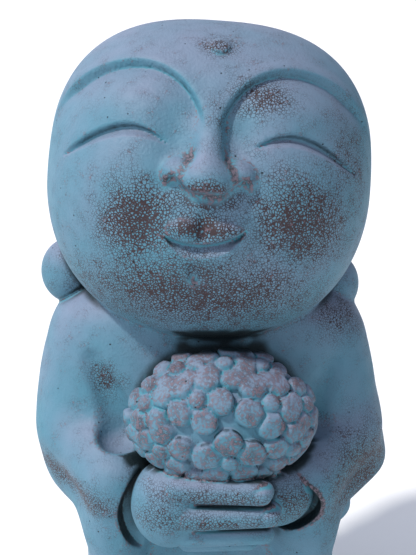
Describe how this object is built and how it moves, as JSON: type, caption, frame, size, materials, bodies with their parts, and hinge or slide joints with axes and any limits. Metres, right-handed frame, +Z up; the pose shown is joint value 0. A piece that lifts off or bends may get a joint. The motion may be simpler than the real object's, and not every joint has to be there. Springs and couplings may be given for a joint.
{
  "type": "jizo statue",
  "caption": "Standing child-monk garden statue in one block on a low oval base, hands folded under a round bouquet of blossoms, for standing on level ground.",
  "frame": {"origin": "middle of the flat underside of the low base, on the ground", "axes": "+Z up the figure, its longest extent; the figure faces -Y; +X is towards the figure's left hand"},
  "size_m": [0.2078, 0.1777, 0.4116],
  "materials": {
    "stone": "matte cast stone with a teal patina worn brown on the raised parts"
  },
  "bodies": {
    "root": {"jizo_statue": "stone"}
  },
  "joints": []
}
